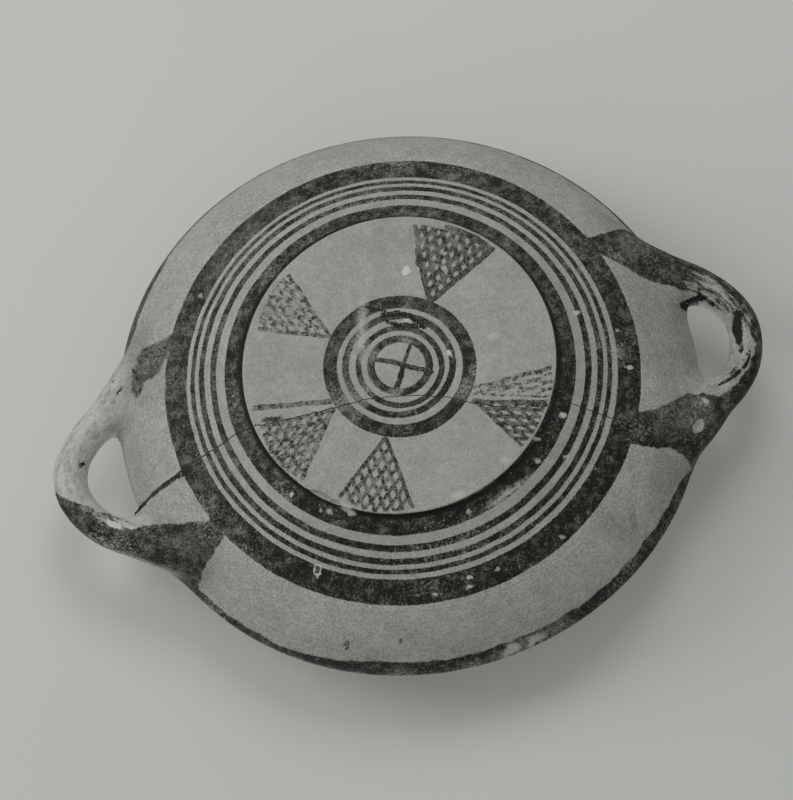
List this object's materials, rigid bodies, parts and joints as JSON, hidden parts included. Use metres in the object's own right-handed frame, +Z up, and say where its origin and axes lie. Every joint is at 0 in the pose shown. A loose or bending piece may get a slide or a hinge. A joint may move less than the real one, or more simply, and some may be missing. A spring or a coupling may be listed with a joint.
{
  "type": "painted pottery bowl",
  "caption": "Shallow round pottery bowl on a flat disc foot, with a horizontal loop handle at each side just under the lip, for serving or holding food.",
  "frame": {"origin": "centre of the foot's flat underside, which is the bottom centre of the bowl's box", "axes": "+Z up through the mouth, +X along the line of the two handles, towards the handle where the mend reaches the lip"},
  "size_m": [0.3384, 0.2697, 0.0509],
  "materials": {
    "painted_clay": "matt pale slip with dark brown-black painted bands"
  },
  "bodies": {
    "root": {"bowl": "painted_clay"}
  },
  "joints": []
}
